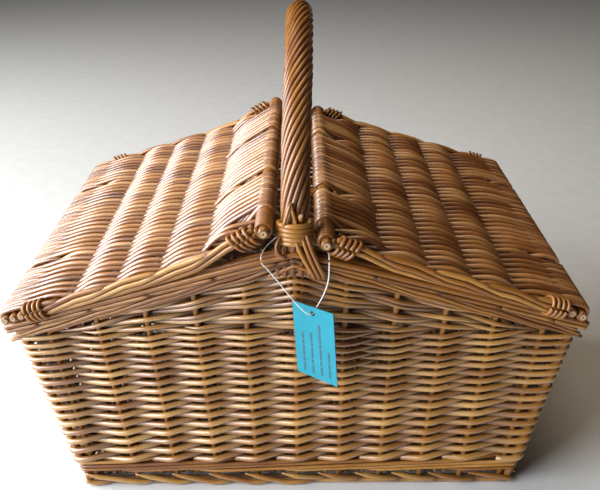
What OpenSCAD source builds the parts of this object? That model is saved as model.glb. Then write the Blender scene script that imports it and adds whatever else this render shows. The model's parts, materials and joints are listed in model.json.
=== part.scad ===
// Gabled willow picnic basket with two hinged lids, a roped arch handle and a hang tag.
// Millimetres. Origin at the middle of the foot on the floor, +X right, +Y back, +Z up.

/* [Body] */
// Width of the woven walls at the rim corners
rim_w = 452; // [430:1:480]
// Depth of the woven walls at the rim corners
rim_d = 304; // [290:1:330]
// Width of the woven walls at the floor
base_w = 396; // [380:1:410]
// Depth of the woven walls at the floor
base_d = 252; // [240:1:262]
// Height of the rim at the corners
corner_h = 194; // [185:1:205]
// Height of the rim's peak at the middle of the front and back
peak_h = 265; // [255:1:275]
// Thickness of the woven walls
wall_t = 8; // [7:0.5:9]

/* [Stakes] */
// Radius of the upright stakes inside the weave
stake_r = 2.4; // [2:0.1:2.8]
// Pitch of the front and back stakes at the rim
stake_pitch = 39.8; // [38:0.1:41]
// Radius of the four corner posts
post_r = 3.4; // [3:0.1:3.6]

/* [Base] */
// Thickness of the woven base
base_t = 10; // [9.5:0.5:11]
// Radius of the sticks that the base is woven on
base_stick_r = 3.6; // [3:0.1:3.9]
// Radius of the plaited foot border
foot_r = 3.5; // [3.2:0.1:3.6]

/* [Rim] */
// Radius of one border rod
rim_rod_r = 2.3; // [2:0.1:2.4]
// Number of border rods lying one above the other on the outside
rim_rods = 4; // [3:1:5]

/* [Handle] */
// Radius of the handle's arch, at the middle of its section
arch_r = 154; // [150:1:158]
// Height of the arch's centre
arch_z = 249; // [246:1:252]
// Radius of the handle's core
core_r = 7.4; // [6:0.1:8]
// Radius over the roped strands
handle_r = 11.4; // [11:0.1:11.5]
// Number of turns in the binding at each foot
binding_turns = 5; // [4:1:6]

/* [Lids] */
// Distance of each hinge stick from the middle
hinge_x = 23; // [22:0.5:24]
// Height of the left hinge stick
left_hinge_z = 280; // [278:1:282]
// Height of the right hinge stick
right_hinge_z = 270; // [268:1:274]
// Depth of each lid over its edge rods
lid_d = 326; // [322:1:330]
// Thickness of the woven lids
lid_t = 11; // [10:0.5:11]
// Distance of the lids' outer ends from the middle
lid_end_x = 227.5; // [226:0.5:229]
// Pitch of the ribs inside a lid
rib_pitch = 34.5; // [33:0.5:35]
// Radius of a rib
rib_r = 2.4; // [2:0.1:2.6]
// Radius of a hinge stick
hinge_stick_r = 4; // [3.6:0.1:4.2]

/* [Hang tag] */
// Width of the card
tag_w = 40; // [36:1:42]
// Height of the card
tag_h = 64; // [60:1:66]
// Turn of the card away from the front
tag_yaw = 40; // [36:1:43]

/* [Hidden] */

$fn = 32;
far = 400;      // longer than anything that it cuts
fit_gap = 0.1;  // room round a rod inside a weave

willow = [0.74, 0.48, 0.24];
willow_light = [0.83, 0.6, 0.33];
willow_dark = [0.5, 0.28, 0.12];
tag_blue = [0.3, 0.78, 0.86];
string_white = [0.93, 0.93, 0.92];

// Walls: each is a plane that leans outwards from the floor line.
lean_front = atan((rim_d - base_d) / 2 / corner_h);
lean_side = atan((rim_w - base_w) / 2 / corner_h);
rim_slope = atan((peak_h - corner_h) / (rim_w / 2));
foot_sink = 0.5;  // how far the foot border is flattened where it stands
wall_bottom = 2 * foot_r - foot_sink;

function half_w(z) = base_w / 2 + (rim_w - base_w) / 2 * z / corner_h;
function half_d(z) = base_d / 2 + (rim_d - base_d) / 2 * z / corner_h;
function rim_z(x) = peak_h - abs(x) * tan(rim_slope);

// Lids: the middle line of each goes from the hinge stick over a knee to the outer end.
knee_x = 78;
lid_rest = 8.2;  // height of the lid's middle line over the rim
knee_z = rim_z(knee_x) + lid_rest;
lid_end_z = knee_z - (lid_end_x - knee_x) * tan(rim_slope);
roll_r = 7;       // the weave's roll round the hinge stick
edge_rod_r = 2.1; // the rods along the front and back edges
edge_gap = 0.9;   // room for the bindings between the weave and the edge rods
weave_d = lid_d - 4 * edge_rod_r - 2 * edge_gap;
edge_y = -weave_d / 2 - edge_gap - edge_rod_r;
stick_over = 8;   // how far a hinge stick stands out of the lid's edge
loop_w = 8;       // width of a hinge loop
slot_w = 12;      // width of the gap in the roll where a loop sits
left_loop_ys = [-55, 55];
right_loop_ys = [-69, 69];
loop_t = 1.8;
loop_gap = 0.08;  // running clearance between a loop and its hinge stick
left_outer_xs = [225.2, 218.8, 212.4];  // three thin sticks close the left lid's outer end
left_outer_r = 2.9;
right_outer_xs = [221.4, 212.8];         // two thicker ones close the right lid's
right_outer_r = 3.8;
outer_stick_reach = 163;

// Handle
foot_angle = 6.6;     // where the strands end above the rim
binding_rod_r = 1.8;
binding_first = 7.4;  // angle of the lowest turn of a binding
binding_step = 1.36;
leg_r = 1.8;          // the core's two legs are pushed down into the wall beside its middle stake
leg_x = 4.9;
leg_low = [-150.8, 215];
leg_high = [-156.5, 268];

// Ridge bar
bar_r = 5;
bar_z = 272;
bar_half = 136;

// Tag: the string hangs over the rim on the front and swings there.
string_r = 0.45;
swing_y = -170.5;
swing_z = 259;
hang_x = 25;
tag_centre = [14.5, -173.5, 189];
tag_t = 0.6;
tag_roll = -4.5;
hole_r = 2;
hole_drop = 5.5;

// A round rod from p to q.
module rod(p, q, r) {
  v = q - p;
  translate(p)
    rotate([0, acos(v.z / norm(v)), atan2(v.y, v.x)])
      cylinder(h = norm(v), r = r);
}

knee_swell = 1.06;

// A rod with a slightly swollen knee at each inner point.

module bent_rod(points, r) {
  for (i = [0 : len(points) - 2])
    rod(points[i], points[i + 1], r);
  for (i = [1 : 1 : len(points) - 2])
    translate(points[i]) sphere(r = knee_swell * r);
}

// A round tube swept along a polyline, as one closed solid.
module swept(points, r, sides = 8) {
  n = len(points);
  function unit(v) = v / norm(v);
  function along(i) = unit(points[min(i + 1, n - 1)] - points[max(i - 1, 0)]);
  function side(i) = unit(cross(along(i), [0, 0.3, 1]));
  function up(i) = cross(side(i), along(i));
  ring = [for (i = [0 : n - 1]) for (k = [0 : sides - 1])
    points[i] + r * (cos(360 * k / sides) * side(i) + sin(360 * k / sides) * up(i))];
  walls = [for (i = [0 : n - 2]) for (k = [0 : sides - 1])
    [i * sides + k, i * sides + (k + 1) % sides,
     (i + 1) * sides + (k + 1) % sides, (i + 1) * sides + k]];
  first = [for (k = [sides - 1 : -1 : 0]) k];
  last = [for (k = [0 : sides - 1]) (n - 1) * sides + k];
  polyhedron(ring, concat([first], walls, [last]));
}

// A smooth line through hand-chosen points, with steps points a stretch.
function smooth(p, steps) = concat(
  [for (i = [0 : len(p) - 2]) for (s = [0 : steps - 1])
    let (t = s / steps, a = p[max(i - 1, 0)], b = p[i], c = p[i + 1], d = p[min(i + 2, len(p) - 1)])
    0.5 * (2 * b + (c - a) * t + (2 * a - 5 * b + 4 * c - d) * t * t
      + (3 * b - a - 3 * c + d) * t * t * t)],
  [p[len(p) - 1]]);

// The slab between two planes that lean with the front wall, t0 to t1 in from its outer face.
module front_slab(t0, t1) {
  translate([0, -base_d / 2, 0])
    rotate([lean_front, 0, 0])
      translate([-far, t0, -far / 2])
        cube([2 * far, t1 - t0, 2 * far]);
}

module back_slab(t0, t1) {
  mirror([0, 1, 0]) front_slab(t0, t1);
}

module right_slab(t0, t1) {
  translate([base_w / 2, 0, 0])
    rotate([0, lean_side, 0])
      translate([-t1, -far, -far / 2])
        cube([t1 - t0, 2 * far, 2 * far]);
}

module left_slab(t0, t1) {
  mirror([1, 0, 0]) right_slab(t0, t1);
}

// Everything between the foot border and the gabled rim line.
module under_gable() {
  rotate([90, 0, 0])
    linear_extrude(height = 2 * far, center = true)
      polygon([
        [-far, wall_bottom], [far, wall_bottom],
        [far, rim_z(rim_w / 2)], [rim_w / 2, rim_z(rim_w / 2)], [0, peak_h],
        [-rim_w / 2, rim_z(rim_w / 2)], [-far, rim_z(rim_w / 2)]
      ]);
}

// Stakes: rods in the middle of the wall's thickness.
side_pitch = 38;
front_counts = [-5 : 5];
side_counts = [-3 : 3];
fan = 0.94;          // how much closer the stakes stand at the floor than at the rim
stake_low = wall_bottom + 1;
stake_short = 4;     // how far a stake stops below the rim line

function front_stake_foot(k) =
  [k * stake_pitch * fan, -half_d(stake_low) + wall_t / 2, stake_low];
function front_stake_top(k) =
  let (z = rim_z(k * stake_pitch) - stake_short)
  [k * stake_pitch, -half_d(z) + wall_t / 2, z];
function side_stake_foot(k) =
  [half_w(stake_low) - wall_t / 2, k * side_pitch * 0.92, stake_low];
function side_stake_top(k) =
  let (z = corner_h - stake_short)
  [half_w(z) - wall_t / 2, k * side_pitch, z];

module front_stake_set(r) {
  for (k = front_counts)
    rod(front_stake_foot(k), front_stake_top(k), r);
}

module right_stake_set(r) {
  for (k = side_counts)
    rod(side_stake_foot(k), side_stake_top(k), r);
}

post_in = wall_t / 2;
post_side_in = 4.6;

module corner_post_set(r) {
  low = stake_low;
  high = corner_h - stake_short;
  for (sx = [-1, 1])
    for (sy = [-1, 1])
      rod(
        [sx * (half_w(low) - post_side_in), sy * (half_d(low) - post_in), low],
        [sx * (half_w(high) - post_side_in), sy * (half_d(high) - post_in), high],
        r);
}

module front_wall_solid() {
  difference() {
    intersection() {
      under_gable();
      front_slab(0, wall_t);
      left_slab(0, far);
      right_slab(0, far);
    }
    front_stake_set(stake_r + fit_gap);
    corner_post_set(post_r + fit_gap);
    front_legs(leg_r + fit_gap);
  }
}

module right_wall_solid() {
  difference() {
    intersection() {
      under_gable();
      right_slab(0, wall_t);
      front_slab(wall_t, far);
      back_slab(wall_t, far);
    }
    right_stake_set(stake_r + fit_gap);
  }
}

module base_sticks() {
  color(willow_dark)
    base_stick_set(base_stick_r);
}

base_bottom = 3;
base_in = 7.4;    // the base stands inside the walls
base_half_w = base_w / 2 - base_in;
base_half_d = base_d / 2 - base_in;
base_stick_ys = [for (i = [-2.5 : 1 : 2.5]) i * 41];

module base_stick_set(r, over = 0) {
  for (y = base_stick_ys)
    rod(
      [-base_half_w + 2 - over, y, base_bottom + base_t / 2],
      [base_half_w - 2 + over, y, base_bottom + base_t / 2], r);
}

module base_weave() {
  color(willow)
    difference() {
      translate([-base_half_w, -base_half_d, base_bottom])
        cube([2 * base_half_w, 2 * base_half_d, base_t]);
      base_stick_set(base_stick_r + fit_gap);
      foot_ring(foot_r + fit_gap);
    }
}

foot_half_w = base_w / 2 - 1.5;
foot_half_d = base_d / 2 - 1.5;

module foot_ring(r) {
  z = foot_r - foot_sink;
  for (s = [-1, 1]) {
    rod([-foot_half_w, s * foot_half_d, z], [foot_half_w, s * foot_half_d, z], r);
    rod([s * foot_half_w, -foot_half_d, z], [s * foot_half_w, foot_half_d, z], r);
    for (t = [-1, 1])
      translate([s * foot_half_w, t * foot_half_d, z]) sphere(r = r);
  }
}

module foot_border() {
  color(willow_light)
    intersection() {
      foot_ring(foot_r);
      translate([-far, -far, 0]) cube([2 * far, 2 * far, wall_bottom]);
    }
}

wale_r = 2.1;
wale_rods = 3;

module bottom_wale() {
  color(willow_light)
    for (i = [0 : wale_rods - 1])
      wale_ring(wall_bottom + wale_r + 0.6 + i * 2.25 * wale_r);
}

module wale_ring(z) {
  x = half_w(z) + wale_r + 0.1;
  y = half_d(z) + wale_r + 0.1;
  for (s = [-1, 1]) {
    rod([-x, s * y, z], [x, s * y, z], wale_r);
    rod([s * x, -y, z], [s * x, y, z], wale_r);
    for (t = [-1, 1])
      translate([s * x, t * y, z]) sphere(r = knee_swell * wale_r);
  }
}

module corner_posts() {
  color(willow_dark) corner_post_set(post_r);
}

module front_stakes() {
  color(willow_dark) front_stake_set(stake_r);
}

module back_stakes() {
  color(willow_dark) mirror([0, 1, 0]) front_stake_set(stake_r);
}

module right_stakes() {
  color(willow_dark) right_stake_set(stake_r);
}

module left_stakes() {
  color(willow_dark) mirror([1, 0, 0]) right_stake_set(stake_r);
}

module front_wall() {
  color(willow) front_wall_solid();
}

module back_wall() {
  color(willow) mirror([0, 1, 0]) front_wall_solid();
}

module right_wall() {
  color(willow) right_wall_solid();
}

module left_wall() {
  color(willow) mirror([1, 0, 0]) right_wall_solid();
}

// Rim: rods one above the other on the outside, and two on the inside.
rim_pitch = 1.9 * rim_rod_r;
rim_inner_rods = 2;
rim_clear = 0.15;

// The drop of rod i's centre below the rim line.
function rim_drop(i) = rim_rod_r + i * rim_pitch;

module front_rim_solid() {
  for (i = [0 : rim_rods - 1])
    gable_rod(rim_drop(i), -rim_rod_r - rim_clear, rim_w / 2 + 2 * rim_rod_r);
  for (i = [0 : rim_inner_rods - 1])
    gable_rod(rim_drop(i), wall_t + rim_rod_r + rim_clear, rim_w / 2 - wall_t - 2 * rim_rod_r - 2);
}

// A rod that follows the gable, drop below the rim line and inward of the wall's outer face.
module gable_rod(drop, inward, reach) {
  zp = peak_h - drop;
  ze = rim_z(reach) - drop;
  bent_rod([
    [-reach, -half_d(ze) + inward, ze],
    [0, -half_d(zp) + inward, zp],
    [reach, -half_d(ze) + inward, ze]
  ], rim_rod_r);
}

module right_rim_solid() {
  for (i = [0 : rim_rods - 1])
    side_rod(rim_drop(i), rim_rod_r + rim_clear, -0.2);
  for (i = [0 : rim_inner_rods - 1])
    side_rod(rim_drop(i), -wall_t - rim_rod_r - rim_clear, wall_t + 2.5 * rim_rod_r + 3);
}

module side_rod(drop, outward, short) {
  z = corner_h - drop;
  x = half_w(z) + outward;
  y = half_d(z) - short;
  rod([x, -y, z], [x, y, z], rim_rod_r);
}

module front_rim() {
  color(willow_light) front_rim_solid();
}

module back_rim() {
  color(willow_light) mirror([0, 1, 0]) front_rim_solid();
}

module right_rim() {
  color(willow_light) right_rim_solid();
}

module left_rim() {
  color(willow_light) mirror([1, 0, 0]) right_rim_solid();
}

// Places its children on the arch, angle degrees up from the front foot.
module on_arch(angle) {
  translate([0, 0, arch_z])
    rotate([-angle, 0, 0])
      translate([0, -arch_r, 0])
        children();
}

// The arch between the two foot angles, with a ring section.
module arch(r_out, r_in) {
  translate([0, 0, arch_z])
    rotate([0, 90, 0])
      rotate([0, 0, 90 + foot_angle])
        rotate_extrude(angle = 180 - 2 * foot_angle, $fn = 96)
          translate([arch_r, 0])
            difference() {
              circle(r = r_out);
              if (r_in > 0) circle(r = r_in);
            }
}

module front_legs(r) {
  for (s = [-1, 1])
    rod([s * leg_x, leg_low.x, leg_low.y], [s * leg_x, leg_high.x, leg_high.y], r);
}

module handle_core() {
  color(willow_dark) {
    arch(core_r, 0);
    front_legs(leg_r);
    mirror([0, 1, 0]) front_legs(leg_r);
  }
}

module handle_strands() {
  color(willow) arch(handle_r, core_r + fit_gap);
}

module binding_turns_solid() {
  for (i = [0 : binding_turns - 1])
    on_arch(binding_first + i * binding_step)
      rotate_extrude()
        translate([handle_r + fit_gap + binding_rod_r, 0])
          circle(r = binding_rod_r);
}

module front_handle_binding() {
  color(willow_light) binding_turns_solid();
}

module back_handle_binding() {
  color(willow_light) mirror([0, 1, 0]) binding_turns_solid();
}

// Three pegs that run from under the binding down over the rim border.
peg_r = 1.6;
peg_pitch = 3.1;

module pegs_solid() {
  for (i = [0 : 2])
    rod(
      [-1 + i * peg_pitch, -half_d(peak_h) - 8, peak_h - 6],
      [13 + i * peg_pitch, -half_d(peak_h) - 4.5, peak_h - 27], peg_r);
}

module front_handle_pegs() {
  color(willow_light) pegs_solid();
}

module back_handle_pegs() {
  color(willow_light) mirror([0, 1, 0]) pegs_solid();
}

module ridge_bar() {
  color(willow_dark)
    rod([0, -bar_half, bar_z], [0, bar_half, bar_z], bar_r);
}

// Loops of split willow: each is tied round the ridge bar and turns round a hinge stick.
module hinge_loops(x, z, ys) {
  v = [x, z - bar_z];
  reach = norm(v);
  hole_r = hinge_stick_r + loop_gap;
  for (y = ys)
    translate([0, y, bar_z])
      rotate([0, -atan2(v.y, v.x), 0])
        rotate([90, 0, 0])
          linear_extrude(height = loop_w, center = true)
            difference() {
              union() {
                circle(r = bar_r + loop_t);
                translate([reach, 0]) circle(r = hole_r + loop_t);
                translate([0, -loop_t]) square([reach, 2 * loop_t]);
              }
              circle(r = bar_r + 0.02);
              translate([reach, 0]) circle(r = hole_r);
            }
}

module left_hinge_loops() {
  color(willow_dark) hinge_loops(-hinge_x, left_hinge_z, left_loop_ys);
}

module right_hinge_loops() {
  color(willow_dark) hinge_loops(hinge_x, right_hinge_z, right_loop_ys);
}

// Lids are built on the +X side and mirrored for the left one.
function lid_line(hinge_z) = [[hinge_x, hinge_z], [knee_x, knee_z], [lid_end_x, lid_end_z]];

// A point on the lid's middle line at distance x from the middle of the basket.
function lid_z(x, hinge_z) = x < knee_x
  ? hinge_z + (knee_z - hinge_z) * (x - hinge_x) / (knee_x - hinge_x)
  : knee_z + (lid_end_z - knee_z) * (x - knee_x) / (lid_end_x - knee_x);

function turned(v, a) = [v.x * cos(a) - v.y * sin(a), v.x * sin(a) + v.y * cos(a)];

// The outline of the lid, offset n above and below its middle line.
module lid_outline(hinge_z, t) {
  p = lid_line(hinge_z);
  a1 = atan2(p[1].y - p[0].y, p[1].x - p[0].x);
  a2 = atan2(p[2].y - p[1].y, p[2].x - p[1].x);
  up1 = turned([0, t / 2], a1);
  up2 = turned([0, t / 2], a2);
  knee_up = turned([0, t / 2 / cos((a2 - a1) / 2)], (a1 + a2) / 2);
  polygon([p[0] + up1, p[1] + knee_up, p[2] + up2, p[2] - up2, p[1] - knee_up, p[0] - up1]);
  translate(p[0]) circle(r = roll_r);
  translate(p[2]) circle(r = t / 2);
}

rib_xs = [for (i = [0 : 4]) 50 + i * rib_pitch];

module rib_set(hinge_z, r, over = 0) {
  for (x = rib_xs)
    lid_rod(x, hinge_z, weave_d / 2 + over, r);
}

module outer_stick_set(hinge_z, xs, r, over = 0) {
  for (x = xs)
    lid_rod(x, hinge_z, outer_stick_reach + over, r);
}

module lid_rod(x, hinge_z, reach, r) {
  z = lid_z(x, hinge_z);
  rod([x, -reach, z], [x, reach, z], r);
}

module lid_weave_solid(hinge_z, loop_ys, outer_xs, outer_r) {
  difference() {
    rotate([90, 0, 0])
      linear_extrude(height = weave_d, center = true)
        lid_outline(hinge_z, lid_t);
    rod([hinge_x, -far, hinge_z], [hinge_x, far, hinge_z], hinge_stick_r + 0.02);
    rib_set(hinge_z, rib_r + fit_gap, 2);
    outer_stick_set(hinge_z, outer_xs, outer_r + fit_gap, 2);
    for (y = loop_ys)
      translate([0, y - slot_w / 2, hinge_z - 2 * roll_r])
        cube([hinge_x + hinge_stick_r + 3.5, slot_w, 4 * roll_r]);
  }
}

module hinge_stick_solid(hinge_z) {
  reach = lid_d / 2 + stick_over;
  rod([hinge_x, -reach, hinge_z], [hinge_x, reach, hinge_z], hinge_stick_r);
}

// Three split rods along an edge, one above the other.
edge_pitch = 4.5;
edge_end_x = 207.5;  // the edge rods end inside the outer bindings

module edge_solid(hinge_z) {
  first_x = hinge_x + hinge_stick_r + 2.5;
  line = [
    [first_x, lid_z(first_x, hinge_z)],
    [knee_x, knee_z],
    [edge_end_x, lid_z(edge_end_x, hinge_z)]
  ];
  for (n = [-1, 0, 1]) {
    low = [for (p = line) p + [0, n * edge_pitch - edge_rod_r]];
    high = [for (p = line) p + [0, n * edge_pitch + edge_rod_r]];
    translate([0, edge_y + edge_rod_r, 0])
      rotate([90, 0, 0])
        linear_extrude(height = 2 * edge_rod_r)
          polygon([low[0], low[1], low[2], high[2], high[1], high[0]]);
  }
}

cuff_r = 0.9;        // half the thickness of the skein in a binding
cuff_turns = 4;
cuff_pitch = 3.8;
inner_cuff_x = 31;
outer_cuff_x = 193.5;

// A row of turns of skein round the edge rods.
module cuffs(hinge_z, first_x) {
  h = 2 * edge_pitch + 2 * edge_rod_r;
  for (i = [0 : cuff_turns - 1])
    translate([first_x + i * cuff_pitch, edge_y, lid_z(first_x + i * cuff_pitch, hinge_z)])
      rotate([0, 90, 0])
        linear_extrude(height = 2 * cuff_r)
          difference() {
            square([h + 3.6, 2 * edge_rod_r + 1.7], center = true);
            square([h + 2.2, 2 * edge_rod_r + 0.3], center = true);
          }
}

module edge_bindings_solid(hinge_z) {
  for (s = [0, 1])
    mirror([0, s, 0]) {
      cuffs(hinge_z, inner_cuff_x);
      cuffs(hinge_z, outer_cuff_x);
    }
}

module left_side() {
  mirror([1, 0, 0]) children();
}

module left_hinge_stick() {
  color(willow) left_side() hinge_stick_solid(left_hinge_z);
}

module left_ribs() {
  color(willow_dark) left_side() rib_set(left_hinge_z, rib_r);
}

module left_outer_sticks() {
  color(willow_dark) left_side() outer_stick_set(left_hinge_z, left_outer_xs, left_outer_r);
}

module left_lid_weave() {
  color(willow) left_side() lid_weave_solid(left_hinge_z, left_loop_ys, left_outer_xs, left_outer_r);
}

module left_front_edge() {
  color(willow_light) left_side() edge_solid(left_hinge_z);
}

module left_back_edge() {
  color(willow_light) left_side() mirror([0, 1, 0]) edge_solid(left_hinge_z);
}

module left_edge_bindings() {
  color(willow_light) left_side() edge_bindings_solid(left_hinge_z);
}

module right_hinge_stick() {
  color(willow) hinge_stick_solid(right_hinge_z);
}

module right_ribs() {
  color(willow_dark) rib_set(right_hinge_z, rib_r);
}

module right_outer_sticks() {
  color(willow_dark) outer_stick_set(right_hinge_z, right_outer_xs, right_outer_r);
}

module right_lid_weave() {
  color(willow) lid_weave_solid(right_hinge_z, right_loop_ys, right_outer_xs, right_outer_r);
}

module right_front_edge() {
  color(willow_light) edge_solid(right_hinge_z);
}

module right_back_edge() {
  color(willow_light) mirror([0, 1, 0]) edge_solid(right_hinge_z);
}

module right_edge_bindings() {
  color(willow_light) edge_bindings_solid(right_hinge_z);
}

// The string's two fixed runs go from behind the handle's foot out over the rim.
loop_route = [
  [-hang_x, swing_y + 1.5, swing_z + 0.6], [-hang_x, -164, 260.8], [-24, -158, 260.8],
  [-22, -150, 260.8], [-17, -141, 261.8], [-10, -136, 265], [0, -134, 266],
  [10, -136, 265], [17, -141, 261.8], [22, -150, 260.8], [24, -158, 260.8],
  [hang_x, -164, 260.8], [hang_x, swing_y + 1.5, swing_z + 0.6]
];

// The hanging run goes from the rim through the card's hole and back up.
hang_route = [
  [-hang_x, swing_y, swing_z - 1], [-20, -170.5, 252], [-12.5, -171, 242],
  [-5, -172.2, 231.5], [2, -173.4, 222.8], [7.5, -174.4, 217.4], [11.4, -173.9, 215.3],
  [14, -170.8, 215.6], [16.2, -168.8, 219.5], [21, -168.6, 229.5], [24.6, -169.4, 243],
  [hang_x, swing_y, swing_z - 1]
];

module tag_loop() {
  color(string_white) swept(smooth(loop_route, 3), string_r);
}

module tag_string() {
  color(string_white) swept(smooth(hang_route, 4), string_r);
}

module hang_tag() {
  color(tag_blue)
    translate(tag_centre)
      rotate([0, 0, -tag_yaw])
        rotate([0, tag_roll, 0])
          difference() {
            translate([-tag_w / 2, -tag_t / 2, -tag_h / 2]) cube([tag_w, tag_t, tag_h]);
            translate([0, 0, tag_h / 2 - hole_drop])
              rotate([90, 0, 0])
                cylinder(h = 4 * tag_t, r = hole_r, center = true);
          }
}

base_sticks();
base_weave();
foot_border();
bottom_wale();
corner_posts();
front_stakes();
back_stakes();
left_stakes();
right_stakes();
front_wall();
back_wall();
left_wall();
right_wall();
front_rim();
back_rim();
left_rim();
right_rim();
handle_core();
handle_strands();
front_handle_binding();
back_handle_binding();
front_handle_pegs();
back_handle_pegs();
ridge_bar();
left_hinge_loops();
right_hinge_loops();
left_hinge_stick();
left_ribs();
left_outer_sticks();
left_lid_weave();
left_front_edge();
left_back_edge();
left_edge_bindings();
right_hinge_stick();
right_ribs();
right_outer_sticks();
right_lid_weave();
right_front_edge();
right_back_edge();
right_edge_bindings();
tag_loop();
tag_string();
hang_tag();
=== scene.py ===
"""Gabled willow picnic basket: woven body and lids, roped handle and a hang tag.

Lengths are in millimetres in the making, and MM turns them into Blender's metres.
"""

import json
import math

import bpy
import numpy as np
from mathutils import Matrix, Vector
from mathutils.kdtree import KDTree


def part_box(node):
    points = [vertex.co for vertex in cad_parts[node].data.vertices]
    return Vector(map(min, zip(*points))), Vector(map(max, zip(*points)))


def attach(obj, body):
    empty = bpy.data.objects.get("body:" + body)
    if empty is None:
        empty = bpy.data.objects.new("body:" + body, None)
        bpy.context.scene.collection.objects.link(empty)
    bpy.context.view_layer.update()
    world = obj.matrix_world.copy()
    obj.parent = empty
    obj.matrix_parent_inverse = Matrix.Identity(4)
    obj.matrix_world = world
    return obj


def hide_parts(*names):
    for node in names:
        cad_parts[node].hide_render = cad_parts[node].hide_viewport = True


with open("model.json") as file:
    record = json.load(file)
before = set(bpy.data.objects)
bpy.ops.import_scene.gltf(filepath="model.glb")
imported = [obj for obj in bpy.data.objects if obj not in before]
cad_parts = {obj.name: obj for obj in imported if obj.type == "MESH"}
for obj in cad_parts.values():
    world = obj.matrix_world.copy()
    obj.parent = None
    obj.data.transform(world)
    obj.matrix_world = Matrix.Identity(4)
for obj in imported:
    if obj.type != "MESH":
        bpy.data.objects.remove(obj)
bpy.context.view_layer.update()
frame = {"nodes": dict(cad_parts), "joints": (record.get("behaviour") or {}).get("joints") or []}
rng = np.random.default_rng(11)

MM = 0.001
X = np.array([1.0, 0.0, 0.0])
Y = np.array([0.0, 1.0, 0.0])
Z = np.array([0.0, 0.0, 1.0])


def box_mm(node):
    """A node's lowest and highest corners in millimetres."""
    lo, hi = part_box(node)
    return np.array(lo) / MM, np.array(hi) / MM


# ---- sizes, as in the CAD

RIM_W, RIM_D = 452.0, 304.0
BASE_W, BASE_D = 396.0, 252.0
CORNER_H = box_mm("left_wall")[1][2]
PEAK_H = box_mm("front_wall")[1][2]
WALL_T = 8.0
STAKE_R = 2.4
POST_R = 3.4
STAKE_PITCH = 39.8
SIDE_PITCH = 38.0
FRONT_FAN = 0.94
SIDE_FAN = 0.92

HINGE_X = 23.0
JOINTS = {joint["name"]: joint for joint in frame["joints"]}
HINGE_Z = {side: JOINTS[f"{side}_lid_hinge"]["pos_m"][2] / MM for side in ("left", "right")}
KNEE_X = 78.0
LID_REST = 8.2
RIB_XS = [50.0 + 34.5 * i for i in range(5)]
RIB_R = 2.4
HINGE_R = 4.0
LOOP_YS = {"left": (-55.0, 55.0), "right": (-69.0, 69.0)}

ARCH_R = 154.0
ARCH_Z = 249.0
HANDLE_R = 11.4

RIM_SLOPE = (PEAK_H - CORNER_H) / (RIM_W / 2)


def half_w(z):
    return BASE_W / 2 + (RIM_W - BASE_W) / 2 * z / CORNER_H


def half_d(z):
    return BASE_D / 2 + (RIM_D - BASE_D) / 2 * z / CORNER_H


def rim_z(x):
    return PEAK_H - RIM_SLOPE * np.abs(x)


# ---- camera, floor and light

CAMERA_PLACE = (0.0058, -0.6655, 0.5245)    # in metres
CAMERA_ANGLES = (26.97, -0.25, -0.48)    # degrees down, to the right and rolled
CAMERA_LENS, CAMERA_SENSOR = 46.07, 36.0
LIGHT_TARGET = (0.0, 0.0, 0.2)
FLOOR_HALF, FLOOR_Z = 4.0, -0.0005


def add_object(name, data):
    obj = bpy.data.objects.new(name, data)
    bpy.context.scene.collection.objects.link(obj)
    return obj


def make_camera():
    """The photograph's view, fitted to the basket's corners, ridge and handle."""
    cam = bpy.data.cameras.new("camera")
    cam.sensor_fit = "HORIZONTAL"
    cam.sensor_width = CAMERA_SENSOR
    cam.lens = CAMERA_LENS
    cam.clip_end = 20.0
    obj = add_object("camera", cam)
    obj.location = CAMERA_PLACE
    pitch, yaw, roll = (math.radians(angle) for angle in CAMERA_ANGLES)
    look = np.array([math.sin(yaw) * math.cos(pitch), math.cos(yaw) * math.cos(pitch), -math.sin(pitch)])
    right = np.array([math.cos(yaw), -math.sin(yaw), 0.0])
    up = np.cross(right, look)
    turned_right = math.cos(roll) * right + math.sin(roll) * up
    turned_up = -math.sin(roll) * right + math.cos(roll) * up
    basis = Matrix([turned_right, turned_up, -look]).transposed()
    obj.rotation_euler = basis.to_euler("XYZ")
    bpy.context.scene.camera = obj


def area_light(name, place, size, watts, colour):
    data = bpy.data.lights.new(name, "AREA")
    data.shape = "RECTANGLE"
    data.size, data.size_y = size
    data.energy = watts
    data.color = colour
    obj = add_object(name, data)
    obj.location = place
    obj.rotation_euler = (Vector(LIGHT_TARGET) - Vector(place)).to_track_quat("-Z", "Y").to_euler()


def make_lights():
    """A wide window on the left, a weak warm light above, and a dim warm room."""
    area_light("window", (-1.5, -0.45, 0.85), (2.3, 1.6), 124.0, (0.94, 0.98, 1.02))
    area_light("above", (-0.2, 0.4, 2.3), (1.2, 1.2), 18.0, (1.0, 0.82, 0.62))
    world = bpy.data.worlds.new("studio")
    world.use_nodes = True
    background = world.node_tree.nodes["Background"]
    background.inputs["Color"].default_value = (1.0, 0.8, 0.6, 1.0)
    background.inputs["Strength"].default_value = 0.025
    bpy.context.scene.world = world
    bpy.context.scene.view_settings.view_transform = "Standard"


def make_floor():
    data = bpy.data.meshes.new("floor")
    corners = ((-1, -1), (1, -1), (1, 1), (-1, 1))
    data.from_pydata([(x * FLOOR_HALF, y * FLOOR_HALF, FLOOR_Z) for x, y in corners], [], [(0, 1, 2, 3)])
    obj = add_object("floor", data)
    mat = Nodes("floor")
    grain = mat.noise(mat.place(), 40.0, 3.0)
    mat.link(mat.ramp(grain, [(0.3, (0.56, 0.56, 0.55)), (0.7, (0.6, 0.6, 0.59))]), "Base Color")
    mat.set("Roughness", 0.75)
    data.materials.append(mat.material)

# ---- materials


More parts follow.
